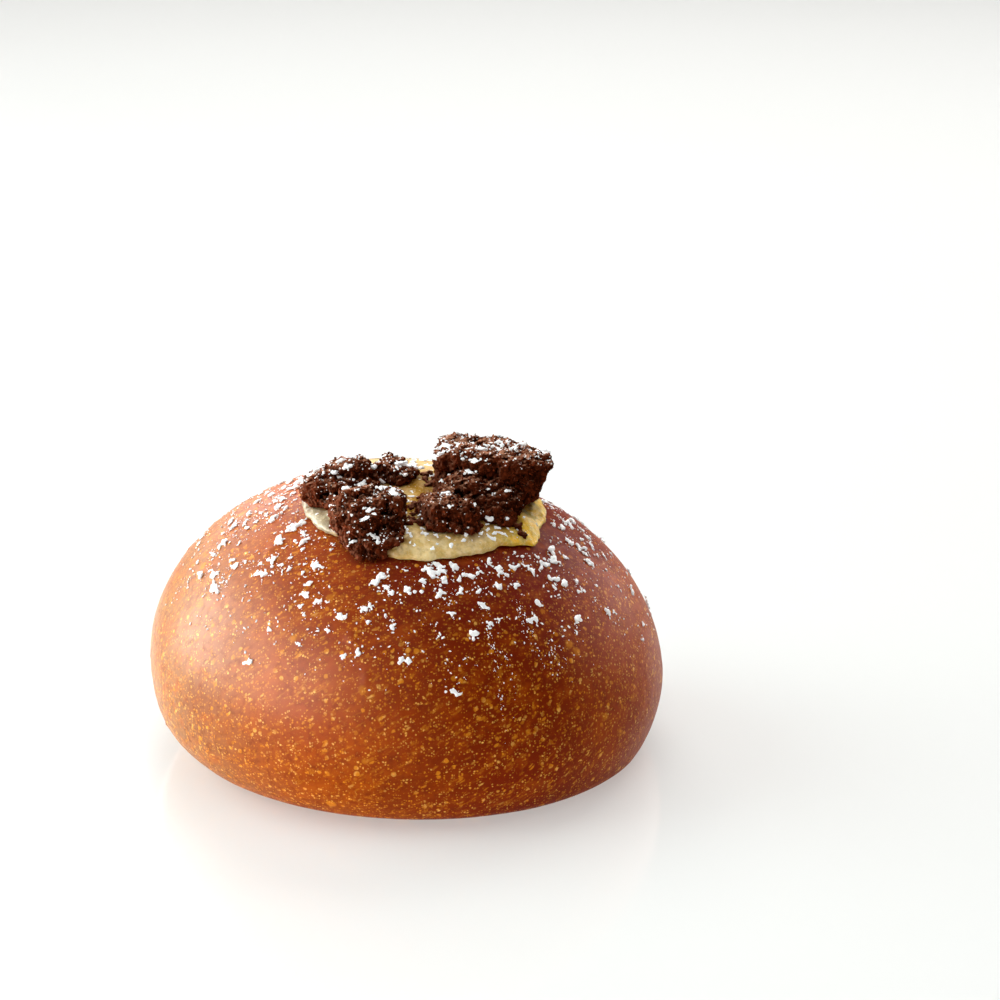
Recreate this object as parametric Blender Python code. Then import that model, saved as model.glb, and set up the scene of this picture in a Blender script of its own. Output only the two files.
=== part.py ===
"""Round brioche with a baked custard top, chocolate crumb chunks and icing sugar.

Metres, +Z up. The flat base stands on z = 0 with the girth centred on the origin, and -Y is the front.
The custard fills a shallow well in the crown and laps over its edge, and the chunks rest on the custard.
"""

import math
import random

import bmesh
import bpy
from mathutils import Euler, Vector, noise
from mathutils.bvhtree import BVHTree

# The bun
BUN_RADIUS = 0.048
BUN_HEIGHT = 0.0515
GIRTH_HEIGHT = 0.0149  # height of the widest ring
BASE_RADIUS_LEFT = 0.0395
BASE_RADIUS_RIGHT = 0.0422
CROWN_POWER = 2.04  # superellipse powers: 2 is an ellipse, more is squarer
FOOT_POWER_LEFT = 2.78
FOOT_POWER_RIGHT = 1.75
LEAN = -0.098  # sideways shift for each metre above the girth
UNEVENNESS = 0.0005
UNEVEN_SCALE = 28.0  # bumps for each metre
BUN_SEGMENTS = 60
BUN_RINGS = 32

# The custard
CUSTARD_CENTRE = Vector((0.003, -0.0055))
CUSTARD_RADIUS = 0.0215
CUSTARD_LOBES = (  # azimuth in degrees, half width in degrees, extra reach
    (-27, 10, 0.0016),
    (16, 26, 0.0016),
    (150, 30, 0.0006),
    (-152, 22, 0.0012),
    (-104, 26, 0.0016),
    (-48, 10, -0.0006),
)
WELL_INSET = 0.0026  # how far the custard laps over the well's edge
WELL_DEPTH = 0.0045
LAP_THICKNESS = 0.0019
LAP_ROUNDNESS = 0.55  # of the rim: 1 is a lens, less is squarer
WELL_ROUNDNESS = 0.35
WIDEST_LEVEL = 1.8  # above 1, the widest ring of the rim lies below its middle
MIDDLE_SINK = 0.0008  # how far the middle of the custard lies below its rim
SINK_STARTS = 0.83  # shares of the outline's reach
SINK_ENDS = 0.50
CUSTARD_SEGMENTS = 44
CUSTARD_RINGS = 10
GAP = 0.0003  # between pieces that rest on each other

# The chunks: each is one or more worn blocks, joined into one piece
CRAG = 0.0014
CRAG_SCALE = 190.0  # crags for each metre
CHUNK_DETAIL = 3
CHUNK_SQUARENESS = 3.2
CHUNKS = {
    "chunk_front_left": (
        dict(seed=3, at=(-0.0056, -0.0233, 0.0488), half=(0.0078, 0.0052, 0.0081),
             turn=(-38, -8, 8), taper=0.45),
    ),
    "chunk_back_left": (
        dict(seed=11, at=(-0.0116, -0.0091, 0.0516), half=(0.0072, 0.0066, 0.0057),
             turn=(-14, -18, 12), taper=0.02),
    ),
    "chunk_middle": (
        dict(seed=23, at=(-0.0029, -0.0041, 0.0519), half=(0.0046, 0.0042, 0.0045),
             turn=(-10, 14, -20), taper=0.44),
    ),
    "chunk_right": (
        dict(seed=5, at=(0.0152, -0.0048, 0.0535), half=(0.0125, 0.0095, 0.0060),
             turn=(-5, 6, -7), taper=0.38),
        dict(seed=8, at=(0.0124, -0.0095, 0.0480), half=(0.0090, 0.0086, 0.0068),
             turn=(-20, 12, 4), taper=0.16),
        dict(seed=17, at=(0.0077, -0.0177, 0.0480), half=(0.0053, 0.0060, 0.0055),
             turn=(-14, -4, 20), taper=0.12),
    ),
}

# The icing sugar: only the largest clumps are solid, and the rest is dust
SUGAR_SEED = 41
SUGAR_CLUMPS = 150
SUGAR_RADIUS = (0.00045, 0.00105)
SUGAR_STRETCH = (1.0, 1.7)  # of a clump's length over its width
SUGAR_FLATNESS = 0.5
SUGAR_BUMP = 0.3
SUGAR_BUMP_SCALE = 900.0
SUGAR_SPACING = 1.5  # between centres, in sums of two radii
SUGAR_NEAR = 0.0012  # clear of the custard's edge
SUGAR_FADE = 0.0085  # how fast the clumps thin out away from the custard
SUGAR_LIMIT = 0.0455  # no clump stands further from the bun's axis
TOE_CENTRE = Vector((-0.0070, -0.0270))  # the chunk's toe that lies on the crust
TOE_CLEARANCE = 0.0095
CHUNK_CLUMPS = {"chunk_front_left": 7, "chunk_back_left": 7, "chunk_middle": 4, "chunk_right": 17}
CHUNK_CLUMP_REACH = 0.82  # of the top block's half size
GOLDEN_ANGLE = math.pi * (3 - math.sqrt(5))


def clear_scene():
    for obj in list(bpy.data.objects):
        bpy.data.objects.remove(obj, do_unlink=True)


def collection(name):
    made = bpy.data.collections.new(name)
    bpy.context.scene.collection.children.link(made)
    return made


def mix(low, high, share):
    return low + (high - low) * share


def ease(share):
    share = min(1.0, max(0.0, share))
    return share * share * (3 - 2 * share)


def material(name, colour, roughness):
    made = bpy.data.materials.new(name)
    made.use_nodes = True
    shader = made.node_tree.nodes["Principled BSDF"]
    shader.inputs["Base Color"].default_value = (*colour, 1)
    shader.inputs["Roughness"].default_value = roughness
    shader.inputs["Metallic"].default_value = 0
    return made


def object_from(name, bm, into, finish=None):
    """A mesh object of a bmesh, which it frees."""
    bmesh.ops.recalc_face_normals(bm, faces=bm.faces)
    mesh = bpy.data.meshes.new(name)
    bm.to_mesh(mesh)
    bm.free()
    made = bpy.data.objects.new(name, mesh)
    if finish:
        mesh.materials.append(finish)
    into.objects.link(made)
    return made


def apply_modifiers(obj):
    bpy.context.view_layer.update()
    graph = bpy.context.evaluated_depsgraph_get()
    mesh = bpy.data.meshes.new_from_object(obj.evaluated_get(graph))
    obj.modifiers.clear()
    obj.data = mesh


def boolean(obj, operation, cutter=None, group=None):
    """Applies one Boolean with an object or with a whole collection, and removes what it used."""
    modifier = obj.modifiers.new(operation.lower(), "BOOLEAN")
    modifier.operation = operation
    modifier.solver = "EXACT"
    modifier.use_self = True
    if group:
        modifier.operand_type = "COLLECTION"
        modifier.collection = group
    else:
        modifier.object = cutter
    apply_modifiers(obj)
    for used in list(group.objects) if group else [cutter]:
        bpy.data.objects.remove(used, do_unlink=True)


def grown(obj, by, into):
    """A copy of an object, swollen along its normals, as the cutter that leaves a gap round it."""
    made = bpy.data.objects.new(obj.name + "_grown", obj.data.copy())
    made.hide_render = True
    made.display_type = "WIRE"
    for vertex, normal in zip(made.data.vertices, [n.vector.copy() for n in obj.data.vertex_normals]):
        vertex.co += normal * by
    into.objects.link(made)
    return made


def keep_largest(obj):
    """Drops the scraps that a cut leaves beside the main body."""
    bm = bmesh.new()
    bm.from_mesh(obj.data)
    left = set(bm.verts)
    islands = []
    while left:
        island, front = set(), [left.pop()]
        while front:
            vertex = front.pop()
            island.add(vertex)
            for edge in vertex.link_edges:
                other = edge.other_vert(vertex)
                if other in left:
                    left.discard(other)
                    front.append(other)
        islands.append(island)
    islands.sort(key=len)
    bmesh.ops.delete(bm, geom=[v for island in islands[:-1] for v in island], context="VERTS")
    bm.to_mesh(obj.data)
    bm.free()


def bun_point(azimuth, tilt):
    """The crust at an azimuth, and at a tilt from -90 degrees below the girth to 90 at the crown."""
    side = ease(0.5 + 0.5 * math.cos(azimuth))
    rise, run = abs(math.sin(tilt)), max(0.0, math.cos(tilt))
    if tilt >= 0:
        power = CROWN_POWER
        height = GIRTH_HEIGHT + (BUN_HEIGHT - GIRTH_HEIGHT) * rise ** (2 / power)
    else:
        power = mix(FOOT_POWER_LEFT, FOOT_POWER_RIGHT, side)
        base = mix(BASE_RADIUS_LEFT, BASE_RADIUS_RIGHT, side) / BUN_RADIUS
        reach = GIRTH_HEIGHT / (1 - base**power) ** (1 / power)
        height = GIRTH_HEIGHT - reach * rise ** (2 / power)
    ring = BUN_RADIUS * run ** (2 / power)
    point = Vector((ring * math.cos(azimuth), ring * math.sin(azimuth), height))
    swell = UNEVENNESS * noise.noise(point * UNEVEN_SCALE) * run
    point.x += swell * math.cos(azimuth) + LEAN * (height - GIRTH_HEIGHT)
    point.y += swell * math.sin(azimuth)
    return point


def make_bun(name, into, finish=None):
    """A sphere shaped to the crust, with its underside cut off flat at z = 0."""
    bm = bmesh.new()
    bmesh.ops.create_uvsphere(bm, u_segments=BUN_SEGMENTS, v_segments=BUN_RINGS, radius=1)
    for vertex in bm.verts:
        azimuth = math.atan2(vertex.co.y, vertex.co.x)
        vertex.co = bun_point(azimuth, math.asin(max(-1.0, min(1.0, vertex.co.z))))
    every = bm.verts[:] + bm.edges[:] + bm.faces[:]
    cut = bmesh.ops.bisect_plane(bm, geom=every, plane_co=(0, 0, 0), plane_no=(0, 0, -1), clear_outer=True)
    rim = [edge for edge in cut["geom_cut"] if isinstance(edge, bmesh.types.BMEdge)]
    bmesh.ops.edgeloop_fill(bm, edges=rim)
    return object_from(name, bm, into, finish)


def custard_radius(azimuth):
    """The custard's outline, as a reach from its centre."""
    reach = CUSTARD_RADIUS
    for centre, half_width, extra in CUSTARD_LOBES:
        turn = (math.degrees(azimuth) - centre + 180) % 360 - 180
        reach += extra * math.exp(-((turn / half_width) ** 2))
    return reach


def make_pad(name, crust, reach_less, low, high, roundness, sink, into, finish=None):
    """A pillow on the crust from low to high above it, with the custard's outline less a margin."""
    bm = bmesh.new()
    bmesh.ops.create_uvsphere(bm, u_segments=CUSTARD_SEGMENTS, v_segments=CUSTARD_RINGS, radius=1)
    for vertex in bm.verts:
        azimuth = math.atan2(vertex.co.y, vertex.co.x)
        out = min(1.0, math.hypot(vertex.co.x, vertex.co.y)) ** roundness
        reach = (custard_radius(azimuth) - reach_less) * out
        x = CUSTARD_CENTRE.x + reach * math.cos(azimuth)
        y = CUSTARD_CENTRE.y + reach * math.sin(azimuth)
        level = math.copysign(abs(vertex.co.z) ** roundness, vertex.co.z)
        above = mix(low, high, (0.5 + 0.5 * level) ** WIDEST_LEVEL)
        if level > 0:
            above -= sink * ease((SINK_STARTS - out) / (SINK_STARTS - SINK_ENDS))
        vertex.co = (x, y, height_of(crust, x, y) + above)
    return object_from(name, bm, into, finish)


def make_custard(crust, into, finish):
    """What shows of the custard: the sheet that laps over the well's edge, sunk a little in its middle."""
    return make_pad("custard", crust, 0, GAP, LAP_THICKNESS, LAP_ROUNDNESS, MIDDLE_SINK, into, finish)


def make_well(name, crust, clearance, high, into):
    """The well in the crown, or with a clearance the plug of custard that fills it."""
    low = clearance - WELL_DEPTH
    return make_pad(name, crust, WELL_INSET + clearance, low, high, WELL_ROUNDNESS, 0, into)


def height_of(tree, x, y):
    """The height of a surface under a point."""
    return tree.ray_cast(Vector((x, y, 1)), Vector((0, 0, -1)))[0].z


def tree_of(obj):
    return BVHTree.FromPolygons([v.co for v in obj.data.vertices], [p.vertices for p in obj.data.polygons])


def make_block(name, block, into, finish):
    """A worn block of crumb: a cube-like blob, narrower below by its taper, with a craggy skin."""
    bm = bmesh.new()
    bmesh.ops.create_icosphere(bm, subdivisions=CHUNK_DETAIL, radius=1)
    turn = Euler([math.radians(angle) for angle in block["turn"]]).to_matrix()
    offset = Vector((block["seed"] * 1.7, block["seed"] * 0.6, 0))
    for vertex in bm.verts:
        way = vertex.co.normalized()
        size = sum(abs(c) ** CHUNK_SQUARENESS for c in way) ** (-1 / CHUNK_SQUARENESS)
        point = Vector(half * c * size for half, c in zip(block["half"], way))
        narrow = 1 - block["taper"] * (0.5 - 0.5 * way.z * size)
        point.x *= narrow
        point.y *= narrow
        crag = noise.fractal(point * CRAG_SCALE + offset, 0.7, 2.2, 3)
        vertex.co = turn @ (point + way * CRAG * crag) + Vector(block["at"])
    return object_from(name, bm, into, finish)


def make_chunk(name, blocks, neighbours, into, cutters, finish):
    """The blocks of a chunk joined, then cut to rest clear of its neighbours."""
    chunk = make_block(name, blocks[0], into, finish)
    for block in blocks[1:]:
        boolean(chunk, "UNION", make_block(name + "_more", block, cutters, None))
    for neighbour in neighbours:
        boolean(chunk, "DIFFERENCE", grown(neighbour, GAP, cutters))
    keep_largest(chunk)
    return chunk


def crust_spots():
    """Where the largest clumps lie on the crust: place and radius, thinning out away from the custard."""
    draw = random.Random(SUGAR_SEED)
    spots = []
    while len(spots) < SUGAR_CLUMPS:
        azimuth = draw.uniform(-math.pi, math.pi)
        beyond = SUGAR_NEAR + draw.expovariate(1 / SUGAR_FADE)
        radius = mix(*SUGAR_RADIUS, draw.random() ** 1.5)
        reach = custard_radius(azimuth) + beyond + radius
        spot = CUSTARD_CENTRE + reach * Vector((math.cos(azimuth), math.sin(azimuth)))
        crowded = any((spot - other).length < SUGAR_SPACING * (radius + size) for other, size in spots)
        on_toe = (spot - TOE_CENTRE).length < TOE_CLEARANCE
        if spot.length < SUGAR_LIMIT and not crowded and not on_toe:
            spots.append((spot, radius))
    return spots


def chunk_spots(name):
    """Where they lie on a chunk: a spiral by the golden angle over its first block."""
    count = CHUNK_CLUMPS[name]
    block = CHUNKS[name][0]
    spots = []
    for number in range(count):
        out = CHUNK_CLUMP_REACH * math.sqrt((number + 0.5) / count)
        azimuth = number * GOLDEN_ANGLE + block["seed"]
        x = block["at"][0] + block["half"][0] * out * math.cos(azimuth)
        y = block["at"][1] + block["half"][1] * out * math.sin(azimuth)
        spots.append((Vector((x, y)), mix(*SUGAR_RADIUS, (number * 0.37) % 1)))
    return spots


def add_sugar(obj, spots, group):
    """Fuses clumps to an object as lumpy domes, half sunk in what they lie on."""
    surface = tree_of(obj)
    for number, (spot, radius) in enumerate(spots):
        place, normal, _, _ = surface.ray_cast(Vector((*spot, 1)), Vector((0, 0, -1)))
        bm = bmesh.new()
        bmesh.ops.create_icosphere(bm, subdivisions=1, radius=radius)
        spin = Euler((0, 0, number * GOLDEN_ANGLE)).to_matrix()
        tilt = normal.to_track_quat("Z", "Y").to_matrix() @ spin
        long = mix(*SUGAR_STRETCH, (number * 0.618) % 1)
        for vertex in bm.verts:
            bump = 1 + SUGAR_BUMP * noise.noise(vertex.co * SUGAR_BUMP_SCALE + Vector((number, 0, 0)))
            flat = Vector((vertex.co.x * long, vertex.co.y, vertex.co.z * SUGAR_FLATNESS)) * bump
            vertex.co = tilt @ flat + place
        object_from(f"sugar_{number}", bm, group)
    boolean(obj, "UNION", group=group)


def main():
    clear_scene()
    parts, cutters, sugar = collection("brioche"), collection("cutters"), collection("sugar")
    crust_brown = material("crust", (0.30, 0.08, 0.02), 0.35)
    custard_yellow = material("custard", (0.75, 0.55, 0.22), 0.35)
    crumb_brown = material("chocolate_crumb", (0.045, 0.016, 0.010), 0.85)

    bun = make_bun("bun", parts, crust_brown)
    crust = tree_of(bun)
    custard = make_custard(crust, parts, custard_yellow)
    plug = make_well("plug", crust, GAP, 0.5 * LAP_THICKNESS, cutters)
    well = make_well("well", crust, 0, 2 * LAP_THICKNESS, cutters)

    chunks = []
    for name, blocks in CHUNKS.items():
        chunks.append(make_chunk(name, blocks, [bun, custard, *chunks], parts, cutters, crumb_brown))
    boolean(custard, "UNION", plug)
    boolean(bun, "DIFFERENCE", well)
    add_sugar(bun, crust_spots(), sugar)
    for chunk in chunks:
        add_sugar(chunk, chunk_spots(chunk.name), sugar)
    for obj in (bun, custard, *chunks):
        obj.data.shade_smooth()
        obj.data.set_sharp_from_angle(angle=math.radians(40))
    for spare in (cutters, sugar):
        bpy.data.collections.remove(spare)


main()
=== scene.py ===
"""Looks of the round brioche: glazed crust, custard, chocolate crumb chunks and icing sugar.

Metres, +Z up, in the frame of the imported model. -Y is the front.
"""

import math
import random

import bmesh
import bpy
import numpy as np
from mathutils import Euler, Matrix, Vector, noise
from mathutils.bvhtree import BVHTree


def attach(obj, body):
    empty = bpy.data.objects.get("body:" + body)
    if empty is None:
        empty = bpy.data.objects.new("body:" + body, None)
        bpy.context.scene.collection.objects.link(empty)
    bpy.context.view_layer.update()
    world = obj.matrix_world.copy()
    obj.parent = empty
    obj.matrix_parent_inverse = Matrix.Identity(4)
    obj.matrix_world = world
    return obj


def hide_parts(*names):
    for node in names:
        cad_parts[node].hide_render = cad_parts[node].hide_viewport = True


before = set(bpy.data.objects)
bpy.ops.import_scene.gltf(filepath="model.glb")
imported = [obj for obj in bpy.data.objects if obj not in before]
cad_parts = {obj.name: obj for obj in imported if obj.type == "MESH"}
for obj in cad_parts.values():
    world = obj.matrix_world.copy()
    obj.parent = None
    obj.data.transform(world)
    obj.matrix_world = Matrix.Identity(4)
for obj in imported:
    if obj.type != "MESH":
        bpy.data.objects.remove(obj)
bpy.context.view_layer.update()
MM = 0.001
TURN = 6.28  # a full turn, for random spins

# The bun, as in the part
BUN_RADIUS = 48 * MM
BUN_HEIGHT = 51.5 * MM
GIRTH_HEIGHT = 14.9 * MM
BASE_RADIUS_LEFT = 39.5 * MM
BASE_RADIUS_RIGHT = 42.2 * MM
CROWN_POWER = 2.04
FOOT_POWER_LEFT = 2.78
FOOT_POWER_RIGHT = 1.75
LEAN = -0.098
UNEVENNESS = 0.5 * MM
UNEVEN_SCALE = 28.0  # noise cells a metre, as in DIMPLE_SCALE and PEEL_SCALE

# Its finer surface
BUN_SEGMENTS = 420
BUN_RINGS = 160
MERGE_DISTANCE = 0.02 * MM  # points that crowd closer than this become one
GROUND_SEGMENTS = 240  # of the plain crust that the custard and the sugar lie on
GROUND_RINGS = 120
FOOT_ROUND = 2.2 * MM  # radius that softens the edge of the base
WELL_TILT = 0.5  # radians, above which the well can be
WELL_EDGE = 0.05  # width of the step at the well's wall, as a share of the custard's reach
DIMPLE = 0.10 * MM
DIMPLE_BIAS = 0.6  # draws the surface inwards on the whole
DIMPLE_SCALE = 110.0
PEEL = 0.02 * MM
PEEL_SCALE = 600.0
BLISTERS = 90
BLISTER_SINES = (-0.2, 0.97)  # of the tilts that they lie between
BLISTER_RADIUS = (0.7 * MM, 1.7 * MM)
BLISTER_HEIGHT = 0.22 * MM

# The custard, as in the part
CUSTARD_CENTRE = Vector((3.0 * MM, -5.5 * MM))
CUSTARD_RADIUS = 21.5 * MM
CUSTARD_LOBES = (  # azimuth in degrees, half width in degrees, extra reach
    (-27, 10, 1.6 * MM),
    (16, 26, 1.6 * MM),
    (150, 30, 0.6 * MM),
    (-152, 22, 1.2 * MM),
    (-104, 26, 1.6 * MM),
    (-48, 10, -0.6 * MM),
)
WELL_INSET = 2.6 * MM
WELL_DEPTH = 4.5 * MM
LAP_THICKNESS = 1.9 * MM
MIDDLE_SINK = 0.8 * MM
GAP = 0.3 * MM

# Its finer surface
CUSTARD_SEGMENTS = 340
CUSTARD_RINGS = 96
CUSTARD_ROUNDNESS = 0.5
CUSTARD_WAVE = 0.55 * MM  # of the outline
CUSTARD_WAVE_SCALE = 4.5  # noise cells a radian
CUSTARD_LUMP = 0.40 * MM
CUSTARD_LUMP_SCALE = 230.0  # noise cells a metre, as in CUSTARD_SKIN_SCALE
CUSTARD_SKIN = 0.13 * MM
CUSTARD_SKIN_SCALE = 1300.0
CUSTARD_RIM = 1.6  # how steeply the rim rises to the full thickness
CUSTARD_MIDDLE = 0.83  # the middle sinks inside this share of the reach
CUSTARD_MIDDLE_BLEND = 0.33
CUSTARD_BACK = 0.45  # share of the thickness left at the far side
CUSTARD_BACK_START = 2 * MM
CUSTARD_BACK_BLEND = 8 * MM
BLOB_CENTRE = Vector((21.5 * MM, -13.0 * MM))  # the thick fold at the right
BLOB_RADIUS = 4.2 * MM
BLOB_HEIGHT = 1.0 * MM
STAIN_REACH = 1.6 * MM  # how far the chunks' crumb stains the custard

# The chunks, whose crumb is grains melted onto a core
CHUNK_NAMES = ("chunk_front_left", "chunk_back_left", "chunk_middle", "chunk_right")
CORE_VOXEL = 0.35 * MM
CORE_SMOOTHING = 8  # rounds that soften the notches between a chunk's blocks
CORE_INSET = 0.60 * MM
CORE_LUMP = 1.0 * MM
CORE_LUMP_SIZE = 1.9 * MM
CORE_LUMP_BIAS = 0.15  # draws the lumps inwards on the whole
GRAIN_SINK = 0.5 * MM  # how much deeper the grains sit between the lumps
CELL_SIZE = 0.42 * MM  # the angular faces of the grains
CELL_DEPTH = 0.24 * MM
FINE_SIZE = 0.26 * MM
FINE_DEPTH = 0.20 * MM
CRUMB_SHARE = 0.31  # grains for each point of the core
CRUMB_RADIUS = (0.14 * MM, 0.80 * MM)
CRUMB_VOXEL = 0.178 * MM
GRANULES = 5000
GRANULE_SHARES = (0.2, 0.2, 0.1, 0.5)  # for each of the chunks
GRANULE_RADIUS = (0.08 * MM, 0.24 * MM)
LOOSE_CRUMBS = (  # centre and spread in mm, and how many lie there on the custard
    ((1.6, -16.5), (0.9, 2.0), 26),
    ((1.8, -21.0), (1.3, 0.8), 16),
    ((19.5, -16.0), (1.6, 1.0), 14),
    ((4.0, -4.0), (1.2, 2.5), 18),
    ((-10.5, -17.5), (1.5, 1.0), 8),
)
LOOSE_RADIUS = (0.15 * MM, 0.75 * MM)
LOOSE_FINE_SIZE = 0.40 * MM

# Seeds of the random draws
BLISTER_SEED = 7
CRUMB_SEED = 60
GRANULE_SEED = 43
LOOSE_SEED = 53
CLUMP_SEED = 41  # as in the part
SIFT_SEED = 394
DUST_SEED = 23
SMEAR_SEED = 59
CHUNK_SUGAR_SEED = 31
CHUNK_DUST_SEED = 37
CUSTARD_SUGAR_SEED = 47
SHAPE_SEEDS = {  # of the uneven grains of each scattered piece
    "chunk_front_left_grains": 70,
    "chunk_back_left_grains": 71,
    "chunk_middle_grains": 72,
    "chunk_right_grains": 73,
    "crumb_grains": 11,
    "loose_crumbs": 15,
    "sugar_on_crust": 3,
    "sugar_dust": 5,
    "sugar_smears": 21,
    "sugar_on_chunks": 7,
    "sugar_dust_on_chunks": 9,
    "sugar_on_custard": 13,
}

# The sugar
SUGAR_CLUMPS = 150  # those of the part
SUGAR_RADIUS = (0.45 * MM, 1.05 * MM)
SUGAR_SPACING = 1.5
SUGAR_NEAR = 1.2 * MM
SUGAR_FADE = 8.5 * MM
SUGAR_LIMIT = 45.5 * MM  # how far from the bun's middle they lie
TOE_CENTRE = Vector((-7.0 * MM, -27.0 * MM))  # chunk_front_left lies on the crust there
TOE_CLEARANCE = 9.5 * MM
MORE_CLUMPS = 270  # finer ones between them
MORE_RADIUS = (0.28 * MM, 1.15 * MM)
SIFT_FADE = 15 * MM
SIFT_NEAR = 0.5 * MM
SIFT_RIGHT_SHARE = 0.6  # of the places kept at the right, where all are kept at the left
SIFT_SLANT = 0.3  # radians by which the fullest side is turned from the left towards the front
CLUMP_BALLS = (9, 19)  # the fewest, and one more than the most
CLUMP_STRETCH = (1, 2)  # from a round clump to a long one
CLUMP_SPREAD = (0.42, 0.36)  # of its balls along and across, as shares of the radius
DUST = 2400
DUST_BY_CLUMPS = 0.6  # share of it that lies round the clumps
DUST_RADIUS = (0.05 * MM, 0.20 * MM)
DUST_SLOPE = 0.35  # upward share of the normal from which dust stays on a chunk
CHUNK_FIELD = ((-20 * MM, 28 * MM), (-30 * MM, 6 * MM))  # where the chunks stand, in x and in y
CHUNK_CLUMPS = 240
CHUNK_CLUMP_RADIUS = (0.28 * MM, 1.0 * MM)
CHUNK_DUST = 1700
LOW_BLOCKS_TOP = 56 * MM  # the lower blocks of chunk_right hold less sugar
LOW_BLOCKS_LEFT = 3 * MM
LOW_BLOCKS_SHARE = 0.40
SMEARS = 10
SMEAR_AZIMUTHS = (-74, -46)  # degrees
SMEAR_TOPS = (24, 40)  # heights in mm
SMEAR_LENGTH = 4 * MM
SMEAR_WIDTH = 0.008  # radians round the bun
SMEAR_GRAINS = 17
SMEAR_RADIUS = (0.04 * MM, 0.13 * MM)
CUSTARD_CLUMPS = 200
CUSTARD_CLUMP_RADIUS = (0.18 * MM, 0.62 * MM)
CUSTARD_CLUMP_FAR = 0.95 * MM  # the largest at the far side
CUSTARD_CLUMP_BLEND = 6 * MM  # depth over which the limit grows to that, from the bun's middle
CUSTARD_CLUMP_REACH = 0.97  # share of the custard's outline that they keep within
CUSTARD_FRONT_SHARE = 0.25  # of them along the bare front band
CUSTARD_FRONT = (-115, -15)  # degrees
SUGAR_VOXEL = 0.15 * MM
CHALK_SIZE = 0.35 * MM  # relief of the lumps
CHALK_DEPTH = 0.08 * MM

# Marks of the crust: cell, largest radius, share of the cells and softness of the edge
TINY_SPECKS = (0.44 * MM, 0.28 * MM, 0.85, 0.14 * MM)
SMALL_SPECKS = (1.30 * MM, 0.57 * MM, 0.60, 0.15 * MM)
STREAKS = (0.95 * MM, 0.36 * MM, 0.5, 0.12 * MM)
LARGE_SPECKS = (6.0 * MM, 1.4 * MM, 0.4, 0.4 * MM)

# Colours of the crust, linear
# FOOT_SHADED and WALL_SHADED are painted shade for the right side, away from the left light.
FOOT_BROWN, FOOT_SHADED = (0.270, 0.049, 0.0016), (0.198, 0.0155, 0.0001)
WALL_BROWN, WALL_SHADED = (0.345, 0.049, 0.0016), (0.19, 0.016, 0.0001)
# Painted rim light on the far right edge.
RIM_LIGHT_BROWN = (0.34, 0.048, 0.003)  # the far right edge
# The crown's brown is partly deeper bake and partly painted shade.
CROWN_BROWN = (0.145, 0.0056, 0.0001)
# Painted sheen of the left light.
LEFT_SHEEN_BROWN = (0.25, 0.120, 0.046)  # pale and hazy
# Painted shade at the back, against the strong light from behind.
BACK_SHADE_BROWN = (0.15, 0.032, 0.006)
CLOUD_BROWN = (0.46, 0.084, 0.002)
MOTTLE_BROWN, PORE_BROWN = (0.14, 0.012, 0.0003), (0.13, 0.011, 0.0003)
GOLD, PALE_GOLD = (0.66, 0.215, 0.008), (0.86, 0.45, 0.08)

# Colours of the custard
CREAM, PALE_CREAM = (0.82, 0.56, 0.19), (0.94, 0.72, 0.36)
CLEAR_YELLOW = (0.42, 0.20, 0.004)
FAR_CREAM = (0.80, 0.52, 0.24)
# The ambers are the fold's own colour, made brighter as painted light shining through it.
AMBER, PALE_AMBER = (0.96, 0.56, 0.03), (0.84, 0.60, 0.12)
# LEFT_CREAM is a painted sheen: cream washed pale and whitish by the left light.
LEFT_CREAM = (0.46, 0.40, 0.28)
DIMPLE_BROWN = (0.36, 0.19, 0.03)
CURD = (0.95, 0.81, 0.48)
STAIN_BROWN = (0.16, 0.055, 0.003)

# Colours of the chocolate crumb
# WARM_CHOCOLATE is the crumb's own warm tone, and also a painted highlight on the grains that stand out.
CHOCOLATE, WARM_CHOCOLATE = (0.020, 0.0036, 0.0009), (0.145, 0.024, 0.0070)
# Painted shade for the crumb's pits.
PIT_SHADE = (0.003, 0.0005, 0.0002)
# DUSTED_TOP is sugar dust; the side colour is painted light on the faces that look left.
DUSTED_TOP, LIT_LEFT_SIDE = (0.52, 0.235, 0.135), (0.40, 0.145, 0.080)
GRAIN, WARM_GRAIN = (0.034, 0.0062, 0.0016), (0.20, 0.036, 0.012)
DUST_LEVELS = (49 * MM, 56 * MM)  # heights between which the dust on the crumb grows full

# Colours of the sugar and the floor
SUGAR_SHADE, SUGAR_WHITE = (0.94, 0.94, 0.93), (0.99, 0.99, 0.99)
FLOOR_SHADE, FLOOR_WHITE = (0.43, 0.43, 0.415), (0.45, 0.45, 0.435)

# The studio
CAMERA_PLACE = (17.1 * MM, -539.1 * MM, 217.0 * MM)
CAMERA_PITCH = math.radians(72.5)
CAMERA_LENS = 110.0
SENSOR_WIDTH = 36.0
COOL_WHITE = (0.84, 0.98, 1.0)
SKY_TOWARDS = (-0.38, 0.66, 0.60)  # where the surrounding light is brightest: left, behind and above
SKY_SPAN = (-0.5, 0.9)  # cosines of the angle to it between which the light grows
SKY_DIM, SKY_BRIGHT = 0.78, 1.70
FLOOR_HALF = 4.0
FLOOR_DROP = 0.02 * MM


# ---------------------------------------------------------------- shapes

def mix(low, high, share):
    """A value between two others."""
    return low + (high - low) * share


def ease(share):
    """A share from 0 to 1, with soft ends."""
    share = min(1.0, max(0.0, share))
    return share * share * (3 - 2 * share)


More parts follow.
